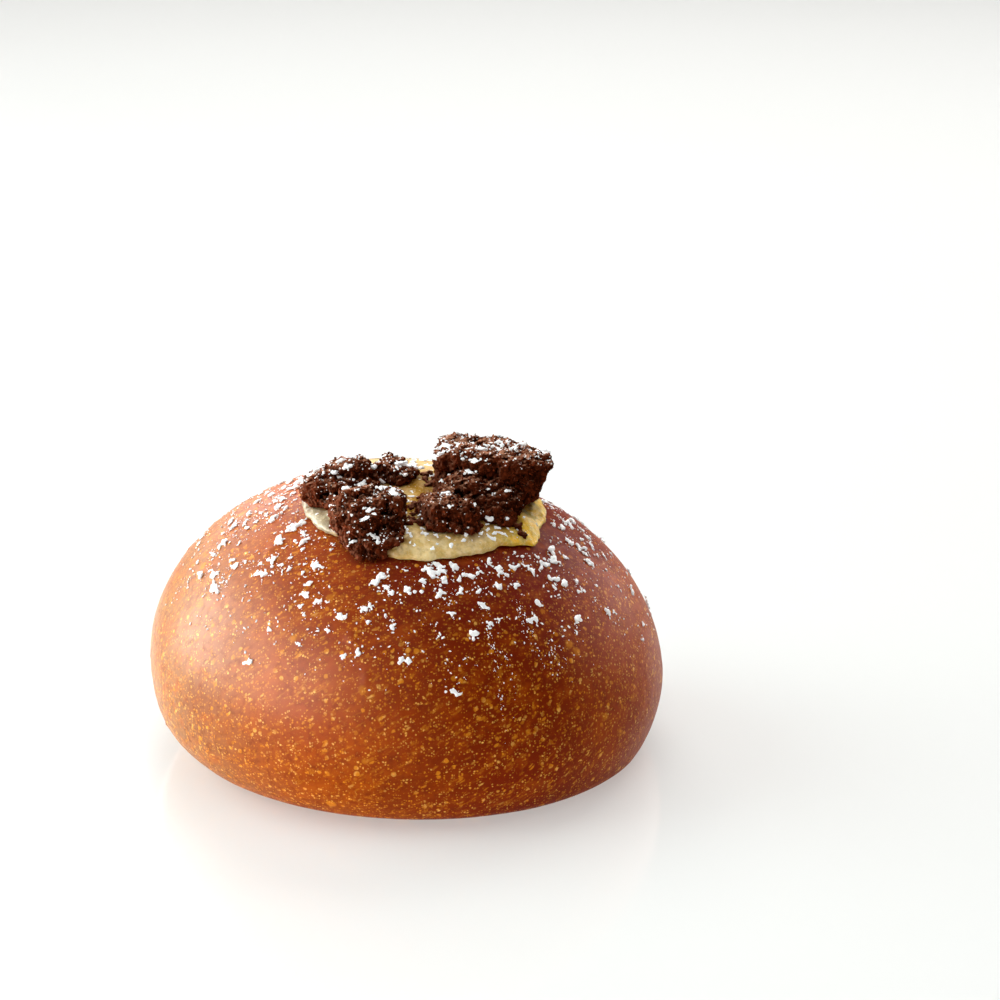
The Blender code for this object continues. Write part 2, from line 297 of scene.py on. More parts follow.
def bun_point(azimuth, tilt):
    """The crust at an azimuth, and at a tilt from -90 degrees below the girth to 90 at the crown."""
    side = ease(0.5 + 0.5 * math.cos(azimuth))
    rise, run = abs(math.sin(tilt)), max(0.0, math.cos(tilt))
    if tilt >= 0:
        power = CROWN_POWER
        height = GIRTH_HEIGHT + (BUN_HEIGHT - GIRTH_HEIGHT) * rise ** (2 / power)
    else:
        power = mix(FOOT_POWER_LEFT, FOOT_POWER_RIGHT, side)
        base = mix(BASE_RADIUS_LEFT, BASE_RADIUS_RIGHT, side) / BUN_RADIUS
        reach = GIRTH_HEIGHT / (1 - base**power) ** (1 / power)
        height = GIRTH_HEIGHT - reach * rise ** (2 / power)
    ring = BUN_RADIUS * run ** (2 / power)
    point = Vector((ring * math.cos(azimuth), ring * math.sin(azimuth), height))
    swell = UNEVENNESS * noise.noise(point * UNEVEN_SCALE) * run
    point.x += swell * math.cos(azimuth) + LEAN * (height - GIRTH_HEIGHT)
    point.y += swell * math.sin(azimuth)
    return point


def custard_radius(azimuth):
    """The custard's outline, as a reach from its centre."""
    reach = CUSTARD_RADIUS
    for centre, half_width, extra in CUSTARD_LOBES:
        turn = (math.degrees(azimuth) - centre + 180) % 360 - 180
        reach += extra * math.exp(-((turn / half_width) ** 2))
    return reach


def from_custard(x, y):
    """Azimuth round the custard's centre, and reach as a share of its outline."""
    away = Vector((x, y)) - CUSTARD_CENTRE
    azimuth = math.atan2(away.y, away.x)
    return azimuth, away.length / custard_radius(azimuth)


def piece(name, bm, finish, smooth=True):
    """A mesh object of a bmesh, which it frees."""
    mesh = bpy.data.meshes.new(name)
    bm.to_mesh(mesh)
    bm.free()
    return piece_of_mesh(name, mesh, finish, smooth)


def piece_of_mesh(name, mesh, finish, smooth=True):
    """An object of a mesh, with one material."""
    mesh.materials.clear()
    mesh.materials.append(finish)
    if smooth:
        mesh.shade_smooth()
    made = bpy.data.objects.new(name, mesh)
    bpy.context.scene.collection.objects.link(made)
    return made


def settle(obj):
    """Applies an object's modifiers."""
    bpy.context.view_layer.update()
    graph = bpy.context.evaluated_depsgraph_get()
    mesh = bpy.data.meshes.new_from_object(obj.evaluated_get(graph))
    obj.modifiers.clear()
    obj.data = mesh


def tree_of(obj):
    """An object's mesh, ready for rays and nearest points."""
    mesh = obj.data
    return BVHTree.FromPolygons([v.co for v in mesh.vertices], [p.vertices for p in mesh.polygons])


def points_of(mesh):
    """A mesh's points as an array."""
    points = np.empty(len(mesh.vertices) * 3, np.float32)
    mesh.vertices.foreach_get("co", points)
    return points.reshape(-1, 3)


def attribute(mesh, name, values):
    """Stores one number for each vertex, for the material to read."""
    made = mesh.attributes.new(name, "FLOAT", "POINT")
    made.data.foreach_set("value", np.asarray(values, np.float32))


def drop(tree, x, y):
    """Where a grain that falls at x, y comes to lie: place and normal."""
    place, normal, _, _ = tree.ray_cast(Vector((x, y, 1)), Vector((0, 0, -1)))
    return place, normal


def make_bun(finish):
    """The crust as a fine sphere with its well, dimples, blisters and a softened foot."""
    draw = random.Random(BLISTER_SEED)
    blisters = []
    for _ in range(BLISTERS):
        azimuth = draw.uniform(-math.pi, math.pi)
        tilt = math.asin(draw.uniform(*BLISTER_SINES))
        blisters.append((bun_point(azimuth, tilt), mix(*BLISTER_RADIUS, draw.random() ** 2)))
    centres = np.array([b[0] for b in blisters])
    radii = np.array([b[1] for b in blisters])

    bm = bmesh.new()
    bmesh.ops.create_uvsphere(bm, u_segments=BUN_SEGMENTS, v_segments=BUN_RINGS, radius=1)
    for vertex in bm.verts:
        azimuth = math.atan2(vertex.co.y, vertex.co.x)
        tilt = math.asin(max(-1.0, min(1.0, vertex.co.z)))
        point = bun_point(azimuth, tilt)
        outward = Vector((math.cos(azimuth), math.sin(azimuth), 0)) * math.cos(tilt)
        outward.z = math.sin(tilt)
        lift = DIMPLE * (noise.noise(point * DIMPLE_SCALE) - DIMPLE_BIAS)
        lift += PEEL * noise.noise(point * PEEL_SCALE)
        near = np.linalg.norm(centres - np.array(point), axis=1) / radii
        close = near < 1
        if close.any():
            lift += BLISTER_HEIGHT * float(((1 - near[close] ** 2) ** 2).max())
        point += outward * lift
        if tilt > WELL_TILT:
            _, out = from_custard(point.x, point.y)
            inset = 1 - WELL_INSET / CUSTARD_RADIUS
            point.z -= WELL_DEPTH * ease((inset - out) / WELL_EDGE)
        if point.z < FOOT_ROUND:
            # the wall turns in under the bun instead of meeting the floor at a sharp edge
            under = min(1.0, (FOOT_ROUND - point.z) / (3 * FOOT_ROUND))
            point.z = max(0.0, FOOT_ROUND * (1 - under) ** 3)
        vertex.co = point
    bmesh.ops.remove_doubles(bm, verts=bm.verts[:], dist=MERGE_DISTANCE)
    bmesh.ops.recalc_face_normals(bm, faces=bm.faces)
    return piece("crust", bm, finish)


def make_custard(crust, chunks, finish):
    """The custard sheet over its plug: wavy rim, thick fold at the right, stains by the chunks."""
    bm = bmesh.new()
    bmesh.ops.create_uvsphere(bm, u_segments=CUSTARD_SEGMENTS, v_segments=CUSTARD_RINGS, radius=1)
    for vertex in bm.verts:
        azimuth = math.atan2(vertex.co.y, vertex.co.x)
        out = min(1.0, math.hypot(vertex.co.x, vertex.co.y)) ** CUSTARD_ROUNDNESS
        round_way = Vector((math.cos(azimuth), math.sin(azimuth), 0))
        wave = CUSTARD_WAVE * noise.fractal(round_way * CUSTARD_WAVE_SCALE, 0.7, 2.0, 3)
        reach = (custard_radius(azimuth) + wave) * out
        x = CUSTARD_CENTRE.x + reach * math.cos(azimuth)
        y = CUSTARD_CENTRE.y + reach * math.sin(azimuth)
        level = math.copysign(abs(vertex.co.z) ** CUSTARD_ROUNDNESS, vertex.co.z)
        point = Vector((x, y, crust_height(crust, x, y)))
        if level > 0:
            thickness = mix(0.5 * LAP_THICKNESS, LAP_THICKNESS, level)
            thickness -= MIDDLE_SINK * ease((CUSTARD_MIDDLE - out) / CUSTARD_MIDDLE_BLEND)
            thickness += CUSTARD_LUMP * noise.fractal(point * CUSTARD_LUMP_SCALE, 0.9, 2.1, 3)
            thickness += CUSTARD_SKIN * noise.noise(point * CUSTARD_SKIN_SCALE)
            fold = (Vector((x, y)) - BLOB_CENTRE).length / BLOB_RADIUS
            thickness += BLOB_HEIGHT * ease(1 - fold)
            thickness *= mix(1.0, CUSTARD_BACK, ease((y - CUSTARD_BACK_START) / CUSTARD_BACK_BLEND))
            point.z += mix(0.5 * LAP_THICKNESS, thickness, min(1.0, level * CUSTARD_RIM))
        else:
            point.z += mix(0.5 * LAP_THICKNESS, 0.1 * GAP, min(1.0, -level * CUSTARD_RIM))
            inset = 1 - (WELL_INSET + GAP) / CUSTARD_RADIUS
            point.z -= (WELL_DEPTH - GAP) * ease((inset - out) / WELL_EDGE)
        vertex.co = point
    bmesh.ops.recalc_face_normals(bm, faces=bm.faces)
    made = piece("custard_sheet", bm, finish)
    stain = []
    for vertex in made.data.vertices:
        near = min(tree.find_nearest(vertex.co)[3] for tree in chunks)
        stain.append(math.exp(-near / STAIN_REACH))
    attribute(made.data, "stain", stain)
    return made


def crust_height(crust, x, y):
    """The height of the uncut crust: the well is left out."""
    return crust.ray_cast(Vector((x, y, 1)), Vector((0, 0, -1)))[0].z


def uncut_crust():
    """A plain mesh of the crust before the well, as the custard's and the sugar's ground."""
    bm = bmesh.new()
    bmesh.ops.create_uvsphere(bm, u_segments=GROUND_SEGMENTS, v_segments=GROUND_RINGS, radius=1)
    for vertex in bm.verts:
        azimuth = math.atan2(vertex.co.y, vertex.co.x)
        vertex.co = bun_point(azimuth, math.asin(max(-1.0, min(1.0, vertex.co.z))))
    tree = BVHTree.FromBMesh(bm)
    bm.free()
    return tree


def voxels(obj, size):
    """Melts an object's meshes into one skin."""
    remesh = obj.modifiers.new("voxels", "REMESH")
    remesh.mode = "VOXEL"
    remesh.voxel_size = size
    settle(obj)


def dressed(obj, finish):
    """Gives an object's remade mesh its material and smooth shading."""
    obj.data.materials.clear()
    obj.data.materials.append(finish)
    obj.data.shade_smooth()
    return obj


def join(obj, other):
    """Adds another object's mesh to an object's, and removes that other."""
    bm = bmesh.new()
    bm.from_mesh(obj.data)
    bm.from_mesh(other.data)
    bm.to_mesh(obj.data)
    bm.free()
    bpy.data.objects.remove(other, do_unlink=True)


def relief(name, kind, size):
    """A texture for the Displace modifier."""
    made = bpy.data.textures.new(name, kind)
    made.noise_scale = size
    return made


def displace(obj, texture, strength, middle):
    """Adds a Displace modifier, which pushes the mesh in and out by a texture."""
    modifier = obj.modifiers.new(texture.name, "DISPLACE")
    modifier.texture = texture
    modifier.texture_coords = "GLOBAL"
    modifier.strength = strength
    modifier.mid_level = middle


def make_chunk(name, finish):
    """A chunk's own solid as open crumb: a shrunken core with grains melted onto it."""
    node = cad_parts[name]
    mesh = node.data.copy()
    mesh.transform(node.matrix_world)
    shape = piece_of_mesh(name + "_crumb", mesh, finish)
    voxels(shape, CORE_VOXEL)
    soften = shape.modifiers.new("soften", "SMOOTH")
    soften.factor = 0.5
    soften.iterations = CORE_SMOOTHING
    settle(shape)
    tree = tree_of(shape)
    skin = points_of(shape.data).copy()
    normals = np.array([v.vector for v in shape.data.vertex_normals])
    draw = random.Random(CRUMB_SEED + CHUNK_NAMES.index(name))

    core = skin - normals * CORE_INSET
    lumps = [noise.fractal(Vector(point) / CORE_LUMP_SIZE, 0.8, 2.1, 3) for point in skin]
    core += normals * CORE_LUMP * (np.array(lumps)[:, None] - CORE_LUMP_BIAS)
    shape.data.vertices.foreach_set("co", core.astype(np.float32).ravel())

    grains = []
    for _ in range(int(len(skin) * CRUMB_SHARE)):
        at = draw.randrange(len(skin))
        outward = Vector(normals[at])
        size = mix(*CRUMB_RADIUS, draw.random() ** 2.4)
        sunk = 0.55 * size + GRAIN_SINK * (1 - ease(1.5 * lumps[at] + 0.5))
        spot = Vector(skin[at]) - outward * sunk
        half = (size * draw.uniform(0.85, 1.25), size, size * draw.uniform(0.7, 1.05))
        grains.append((spot, half, lie(outward, draw.uniform(0, TURN))))
    loose = scattered(name + "_grains", grains, 2, finish, 0.8)
    join(shape, loose)
    voxels(shape, CRUMB_VOXEL)
    displace(shape, relief(name + "_cells", "VORONOI", CELL_SIZE), -CELL_DEPTH, 0.4)
    displace(shape, relief(name + "_fine", "CLOUDS", FINE_SIZE), FINE_DEPTH, 0.5)
    settle(shape)

    # Each point's depth from the core, which the material turns into painted shade in the pits and a painted
    # highlight on the grains that stand out.
    depth = []
    for vertex in shape.data.vertices:
        place, normal, _, _ = tree.find_nearest(vertex.co)
        depth.append((vertex.co - place).dot(normal) / MM)
    attribute(shape.data, "height", depth)
    return dressed(shape, finish)


# ---------------------------------------------------------------- scattered pieces

def ball(detail):
    """Points and triangles of a unit ball."""
    bm = bmesh.new()
    bmesh.ops.create_icosphere(bm, subdivisions=detail, radius=1)
    points = np.array([v.co[:] for v in bm.verts])
    faces = np.array([[v.index for v in f.verts] for f in bm.faces])
    bm.free()
    return points, faces


def scattered(name, grains, detail, finish, rough):
    """Joins balls knocked out of round, one for each grain's place, three half sizes and turn."""
    points, faces = ball(detail)
    draw = np.random.RandomState(SHAPE_SEEDS[name])
    all_points, all_faces, start = [], [], 0
    for place, half, turn in grains:
        bumps = 1 + rough * (draw.rand(len(points), 1) - 0.5)
        shaped = points * bumps * np.array(half)
        all_points.append(shaped @ np.array(turn).T + np.array(place))
        all_faces.append(faces + start)
        start += len(points)
    mesh = bpy.data.meshes.new(name)
    mesh.from_pydata(np.concatenate(all_points).tolist(), [], np.concatenate(all_faces).tolist())
    return piece_of_mesh(name, mesh, finish)


def lie(normal, spin):
    """A turn that lays a grain flat on a surface, spun about its normal."""
    return normal.to_track_quat("Z", "Y").to_matrix() @ Euler((0, 0, spin)).to_matrix()


def clump(place, normal, radius, draw):
    """One clump of sugar as small balls that overlap, some of them a little apart."""
    stretch = draw.uniform(*CLUMP_STRETCH)
    turn = lie(normal, draw.uniform(0, TURN))
    balls = []
    for _ in range(int(mix(*CLUMP_BALLS, draw.random()))):
        along = draw.gauss(0, CLUMP_SPREAD[0]) * radius * stretch
        across = draw.gauss(0, CLUMP_SPREAD[1]) * radius
        size = radius * draw.uniform(0.20, 0.50)
        spot = place + turn @ Vector((along, across, size * draw.uniform(0.1, 0.6)))
        half = (size, size * draw.uniform(0.7, 1), size * draw.uniform(0.6, 0.9))
        balls.append((spot, half, lie(normal, draw.uniform(0, TURN))))
    return balls


def sugar_lumps(name, balls, finish):
    """Balls melted together into chalky lumps."""
    made = scattered(name, balls, 2, finish, 0.25)
    voxels(made, SUGAR_VOXEL)
    displace(made, relief(name + "_chalk", "CLOUDS", CHALK_SIZE), CHALK_DEPTH, 0.5)
    settle(made)
    return dressed(made, finish)


def crust_spots():
    """Where the part has its largest clumps on the crust: place and radius."""
    draw = random.Random(CLUMP_SEED)
    spots = []
    while len(spots) < SUGAR_CLUMPS:
        azimuth = draw.uniform(-math.pi, math.pi)
        beyond = SUGAR_NEAR + draw.expovariate(1 / SUGAR_FADE)
        radius = mix(*SUGAR_RADIUS, draw.random() ** 1.5)
        reach = custard_radius(azimuth) + beyond + radius
        spot = CUSTARD_CENTRE + reach * Vector((math.cos(azimuth), math.sin(azimuth)))
        crowded = any((spot - other).length < SUGAR_SPACING * (radius + size) for other, size in spots)
        on_toe = (spot - TOE_CENTRE).length < TOE_CLEARANCE
        if spot.length < SUGAR_LIMIT and not crowded and not on_toe:
            spots.append((spot, radius))
    return spots


def sifted(draw):
    """A random place for sugar on the crust, thinning out away from the custard and thicker at the left."""
    while True:
        azimuth = draw.uniform(-math.pi, math.pi)
        left = 0.5 - 0.5 * math.cos(azimuth - SIFT_SLANT)
        if draw.random() > mix(SIFT_RIGHT_SHARE, 1.0, left):
            continue
        reach = custard_radius(azimuth) + SIFT_NEAR + abs(draw.gauss(0, SIFT_FADE))
        if draw.random() > reach / (reach + 0.6 * CUSTARD_RADIUS) + 0.25:
            # a place near the custard is dropped at times, as the ring there is short
            continue
        spot = CUSTARD_CENTRE + reach * Vector((math.cos(azimuth), math.sin(azimuth)))
        on_toe = (spot - TOE_CENTRE).length < 0.6 * TOE_CLEARANCE
        if spot.length < SUGAR_LIMIT and not on_toe:
            return spot


def make_crust_sugar(crust, finish):
    """The clumps on the crust, and the places that they lie at."""
    draw = random.Random(SIFT_SEED)
    spots = crust_spots()
    for _ in range(MORE_CLUMPS):
        spot = sifted(draw)
        beyond = from_custard(*spot)[1] - 1
        radius = mix(*MORE_RADIUS, draw.random() ** 1.8) * mix(1.0, 0.45, ease(beyond))
        spots.append((spot, radius))
    balls = []
    for spot, radius in spots:
        place, normal = drop(crust, *spot)
        balls += clump(place, normal, radius, draw)
    return sugar_lumps("sugar_on_crust", balls, finish), spots


def make_crust_dust(crust, spots, finish):
    """Fine sugar: most of it round the clumps, and some anywhere."""
    draw = random.Random(DUST_SEED)
    grains = []
    while len(grains) < DUST:
        if draw.random() < DUST_BY_CLUMPS:
            centre, radius = spots[draw.randrange(len(spots))]
            spot = centre + Vector((draw.gauss(0, 1), draw.gauss(0, 1))) * (0.9 * radius + 0.5 * MM)
        else:
            spot = sifted(draw)
        if from_custard(*spot)[1] < 1.01 or spot.length > 1.01 * SUGAR_LIMIT:
            continue
        place, normal = drop(crust, *spot)
        size = mix(*DUST_RADIUS, draw.random() ** 2.0)
        half = (size * draw.uniform(1, 2.2), size, 0.7 * size)
        grains.append((place + normal * 0.3 * size, half, lie(normal, draw.uniform(0, TURN))))
    return scattered("sugar_dust", grains, 1, finish, 0.5)


def make_smears(crust, finish):
    """Fine sugar that slid down the front wall at the right, in short upright trails."""
    draw = random.Random(SMEAR_SEED)
    grains = []
    for _ in range(SMEARS):
        azimuth = math.radians(draw.uniform(*SMEAR_AZIMUTHS))
        top = draw.uniform(*SMEAR_TOPS) * MM
        for _ in range(SMEAR_GRAINS):
            turn = azimuth + draw.gauss(0, SMEAR_WIDTH)
            outward = Vector((math.cos(turn), math.sin(turn), 0))
            height = top - abs(draw.gauss(0, SMEAR_LENGTH))
            start = outward * 2 * BUN_RADIUS + Vector((0, 0, height))
            place, normal, _, _ = crust.ray_cast(start, -outward)
            size = mix(*SMEAR_RADIUS, draw.random() ** 2)
            grains.append((place, (size, 1.8 * size, 0.6 * size), lie(normal, draw.gauss(0, 0.4))))
    return scattered("sugar_smears", grains, 1, finish, 0.5)


def over_chunks(draw, trees):
    """A random place on top of the chunks, seldom on the lower blocks of the right one."""
    while True:
        x, y = (draw.uniform(*side) for side in CHUNK_FIELD)
        hits = [drop(tree, x, y) for tree in trees]
        hits = [(place, normal) for place, normal in hits if place is not None]
        if not hits:
            continue
        place, normal = max(hits, key=lambda hit: hit[0].z)
        low = place.z < LOW_BLOCKS_TOP and place.x > LOW_BLOCKS_LEFT
        if not low or draw.random() < LOW_BLOCKS_SHARE:
            return place, normal


def make_chunk_sugar(trees, finish):
    """The clumps on the chunks."""
    draw = random.Random(CHUNK_SUGAR_SEED)
    balls = []
    for _ in range(CHUNK_CLUMPS):
        place, normal = over_chunks(draw, trees)
        radius = mix(*CHUNK_CLUMP_RADIUS, draw.random() ** 1.6)
        normal = (normal + Vector((0, 0, 1))).normalized()
        balls += clump(place, normal, radius, draw)
    return sugar_lumps("sugar_on_chunks", balls, finish)


def make_custard_sugar(custard, chunks, finish):
    """A few clumps on the custard, where no chunk stands over it."""
    draw = random.Random(CUSTARD_SUGAR_SEED)
    smallest, largest = CUSTARD_CLUMP_RADIUS
    balls, count = [], 0
    while count < CUSTARD_CLUMPS:
        azimuth = draw.uniform(-math.pi, math.pi)
        out = math.sqrt(draw.random())
        if draw.random() < CUSTARD_FRONT_SHARE:
            azimuth = math.radians(draw.uniform(*CUSTARD_FRONT))
            out = draw.uniform(0.75, 1.0)
        reach = custard_radius(azimuth) * out * CUSTARD_CLUMP_REACH
        x = CUSTARD_CENTRE.x + reach * math.cos(azimuth)
        y = CUSTARD_CENTRE.y + reach * math.sin(azimuth)
        if any(drop(chunk, x, y)[0] for chunk in chunks):
            continue
        place, normal = drop(custard, x, y)
        limit = mix(largest, CUSTARD_CLUMP_FAR, ease(y / CUSTARD_CLUMP_BLEND))
        radius = mix(smallest, limit, draw.random() ** 1.7)
        balls += clump(place, normal, radius, draw)
        count += 1
    return sugar_lumps("sugar_on_custard", balls, finish)


def make_chunk_dust(trees, finish):
    """Fine sugar on the faces of the chunks that look up."""
    draw = random.Random(CHUNK_DUST_SEED)
    grains = []
    for _ in range(CHUNK_DUST):
        place, normal = over_chunks(draw, trees)
        size = mix(*DUST_RADIUS, draw.random() ** 2)
        if normal.z > DUST_SLOPE:
            grains.append((place, (size * 1.3, size, size), lie(normal, draw.uniform(0, TURN))))
    return scattered("sugar_dust_on_chunks", grains, 1, finish, 0.5)


def make_granules(chunks, finish):
    """Loose crumb grains that stand on the chunks."""
    draw = random.Random(GRANULE_SEED)
    grains = []
    for chunk, share in zip(chunks, GRANULE_SHARES):
        vertices = chunk.data.vertices
        for _ in range(int(GRANULES * share)):
            vertex = vertices[draw.randrange(len(vertices))]
            size = mix(*GRANULE_RADIUS, draw.random() ** 1.5)
            half = (size * draw.uniform(0.8, 1.5), size, size * draw.uniform(0.6, 1))
            spot = vertex.co + vertex.normal * 0.2 * size
            grains.append((spot, half, lie(vertex.normal, draw.uniform(0, TURN))))
    return scattered("crumb_grains", grains, 1, finish, 0.6)


def make_loose_crumbs(custard, finish):
    """Crumbs that fell from the chunks onto the custard."""
    draw = random.Random(LOOSE_SEED)
    grains = []
    for centre, spread, count in LOOSE_CRUMBS:
        for _ in range(count):
            x, y = (MM * draw.gauss(at, wide) for at, wide in zip(centre, spread))
            place, normal = drop(custard, x, y)
            size = mix(*LOOSE_RADIUS, draw.random() ** 2)
            half = (size * draw.uniform(1.0, 1.5), size, size * draw.uniform(0.6, 1.0))
            grains.append((place + normal * 0.3 * size, half, lie(normal, draw.uniform(0, TURN))))
    made = scattered("loose_crumbs", grains, 2, finish, 0.7)
    voxels(made, CRUMB_VOXEL)
    displace(made, relief("loose_fine", "CLOUDS", LOOSE_FINE_SIZE), FINE_DEPTH, 0.5)
    settle(made)
    return dressed(made, finish)


# ---------------------------------------------------------------- materials

class Finish:
    """A material with a Principled BSDF, and short ways to add and link its nodes."""

    def __init__(self, name, **values):
        self.material = bpy.data.materials.new(name)
        self.material.use_nodes = True
        self.tree = self.material.node_tree
        self.shader = self.tree.nodes["Principled BSDF"]
        for key, value in values.items():
            self.shader.inputs[key.replace("_", " ")].default_value = value
        texture = self.add("ShaderNodeTexCoord")
        self.coords = texture.outputs["Object"]
        self.normal = texture.outputs["Normal"]  # in the object's own space

    def add(self, kind, inputs=None, **settings):
        """A new node, its inputs set to values or linked to sockets."""
        made = self.tree.nodes.new(kind)
        for key, value in settings.items():
            setattr(made, key, value)
        for key, value in (inputs or {}).items():
            if isinstance(value, bpy.types.NodeSocket):
                self.tree.links.new(value, made.inputs[key])
            else:
                made.inputs[key].default_value = value
        return made

    def maths(self, operation, *values, clamp=False):
        """One sum of sockets or numbers."""
        made = self.add("ShaderNodeMath", operation=operation, use_clamp=clamp)
        for number, value in enumerate(values):
            if isinstance(value, bpy.types.NodeSocket):
                self.tree.links.new(value, made.inputs[number])
            else:
                made.inputs[number].default_value = value
        return made.outputs[0]

    def span(self, value, low, high, to_low=0.0, to_high=1.0):
        """A value's range, eased from low..high to another range."""
        inputs = {"Value": value, "From Min": low, "From Max": high, "To Min": to_low, "To Max": to_high}
        return self.add("ShaderNodeMapRange", inputs, interpolation_type="SMOOTHSTEP").outputs[0]

    def noise(self, size, detail=3.0, coords=None, roughness=0.5):
        """Noise whose waves are about this size."""
        inputs = {"Vector": coords or self.coords, "Scale": 1 / size}
        inputs.update({"Detail": detail, "Roughness": roughness})
        return self.add("ShaderNodeTexNoise", inputs).outputs["Fac"]

    def blend(self, share, first, second):
        """Two colours or sockets mixed by a share."""
        made = self.add("ShaderNodeMix", data_type="RGBA")
        sockets = (made.inputs[0], made.inputs[6], made.inputs[7])
        for socket, value in zip(sockets, (share, first, second)):
            if isinstance(value, bpy.types.NodeSocket):
                self.tree.links.new(value, socket)
            elif isinstance(value, tuple):
                socket.default_value = (*value, 1)
            else:
                socket.default_value = value
        return made.outputs[2]

    def colour(self, socket):
        """Links the base colour."""
        self.tree.links.new(socket, self.shader.inputs["Base Color"])

    def rough(self, socket):
        """Links the roughness."""
        self.tree.links.new(socket, self.shader.inputs["Roughness"])

    def bump(self, height, depth, strength):
        """Links a bump of a height socket."""
        made = self.add("ShaderNodeBump", {"Height": height, "Distance": depth, "Strength": strength})
        self.tree.links.new(made.outputs[0], self.shader.inputs["Normal"])

    def warped(self, size, reach, coords=None):
        """Coordinates pushed about by a noise, so that round marks come out uneven."""
        coords = coords or self.coords
        noise_node = self.add("ShaderNodeTexNoise", {"Vector": coords, "Scale": 1 / size, "Detail": 2.0})
        centred = self.add("ShaderNodeVectorMath", {0: noise_node.outputs["Color"], 1: (0.5, 0.5, 0.5)},
                           operation="SUBTRACT").outputs[0]
        scaled = self.add("ShaderNodeVectorMath", {0: centred, "Scale": reach}, operation="SCALE").outputs[0]
        return self.add("ShaderNodeVectorMath", {0: coords, 1: scaled}, operation="ADD").outputs[0]

    def specks(self, cell, biggest, share, softness, coords):
        """Round marks of uneven strength, one in a share of the cells, from nothing to the biggest radius."""
        marks = self.add("ShaderNodeTexVoronoi", {"Vector": coords, "Scale": 1 / cell})
        chance, strength = self.add("ShaderNodeSeparateColor", {0: marks.outputs["Color"]}).outputs[:2]
        radius = self.add("ShaderNodeMapRange", {"Value": chance, "From Min": 1 - share, "From Max": 1.0,
                                                 "To Min": 0.0, "To Max": biggest / cell}).outputs[0]
        inside = self.maths("SUBTRACT", radius, marks.outputs["Distance"])
        mark = self.maths("MULTIPLY", inside, cell / softness, clamp=True)
        return self.maths("MULTIPLY", mark, self.span(strength, 0.0, 1.0, 0.35, 1.0))


def crust_finish():
    """Egg-washed crust: red-brown, paler at the foot, with golden specks and a few larger blisters."""
    made = Finish("crust", Roughness=0.42, Specular_IOR_Level=0.03, Specular_Tint=(0.94, 1, 0.86, 1))
    place = made.add("ShaderNodeSeparateXYZ", {0: made.coords})
    across, deep, height = place.outputs
    warped = made.warped(0.8 * MM, 0.5 * MM)
    slant = made.add("ShaderNodeMapping", {"Vector": warped, "Rotation": (0, math.radians(-30), 0),
                                           "Scale": (3, 1, 1)}, vector_type="TEXTURE").outputs[0]
    mottle = made.noise(14 * MM, 4)
    cloud = made.noise(2.6 * MM, 4, slant)
    fine = made.noise(1.2 * MM, 4)

    foot = made.span(height, 0.0, 22 * MM)
    # The darker crown is partly deeper bake and partly painted shade; it stays off the left, where the light
    # falls.
    crown = made.maths("MULTIPLY", made.span(height, 22 * MM, 46 * MM), made.span(across, -25 * MM, 5 * MM))
    # Painted sheen: pale and hazy towards the left, where the left light reflects.
    left = made.span(across, -14 * MM, -47 * MM, 0, 0.9)
    # Painted shade: the crust darkens towards the right, away from the left light.
    shaded = made.span(across, -12 * MM, 19 * MM)
    # Painted rim light: the far right edge turns lighter again.
    rim_light = made.span(across, 24 * MM, 44 * MM)
    # Painted shade: darker towards the back, to offset the strong light from behind.
    back = made.span(deep, 10 * MM, 34 * MM, 0, 0.7)
    low = made.blend(shaded, FOOT_BROWN, FOOT_SHADED)
    wall = made.blend(shaded, WALL_BROWN, WALL_SHADED)
    base = made.blend(foot, low, wall)
    for share, brown in ((rim_light, RIM_LIGHT_BROWN), (crown, CROWN_BROWN), (left, LEFT_SHEEN_BROWN), (back, BACK_SHADE_BROWN)):
        base = made.blend(share, base, brown)
    base = made.blend(made.span(cloud, 0.45, 0.70, 0, 0.35), base, CLOUD_BROWN)
    base = made.blend(made.span(mottle, 0.40, 0.7, 0, 0.35), base, MOTTLE_BROWN)
    base = made.blend(made.span(fine, 0.45, 0.75, 0, 0.45), base, PORE_BROWN)

    tiny = made.specks(*TINY_SPECKS, warped)
    small = made.specks(*SMALL_SPECKS, warped)
    streaks = made.specks(*STREAKS, slant)
    large = made.specks(*LARGE_SPECKS, warped)
    flecks = made.span(made.noise(0.8 * MM, 5, slant, 0.6), 0.54, 0.70)

    fewer = made.span(crown, 0.3, 1.0, 1.0, 0.28)  # golden marks thin out in the crown
    tone = made.blend(made.span(made.noise(1.6 * MM, 2), 0.45, 0.65), GOLD, PALE_GOLD)
    base = made.blend(made.maths("MULTIPLY", large, 0.70), base, GOLD)
    base = made.blend(made.maths("MULTIPLY", flecks, made.maths("MULTIPLY", fewer, 0.40)), base, GOLD)
    base = made.blend(made.maths("MULTIPLY", tiny, fewer), base, tone)
    base = made.blend(made.maths("MULTIPLY", streaks, made.maths("MULTIPLY", fewer, 0.80)), base, tone)
    base = made.blend(made.maths("MULTIPLY", small, 0.85), base, tone)
    made.colour(base)

    raised = made.maths("ADD", made.maths("MULTIPLY", small, 0.6), made.maths("MULTIPLY", large, 1.0))
    raised = made.maths("ADD", raised, made.maths("MULTIPLY", fine, 0.5))
    made.bump(raised, 0.05 * MM, 0.6)
    made.rough(made.span(fine, 0.3, 0.8, 0.38, 0.50))
    return made.material


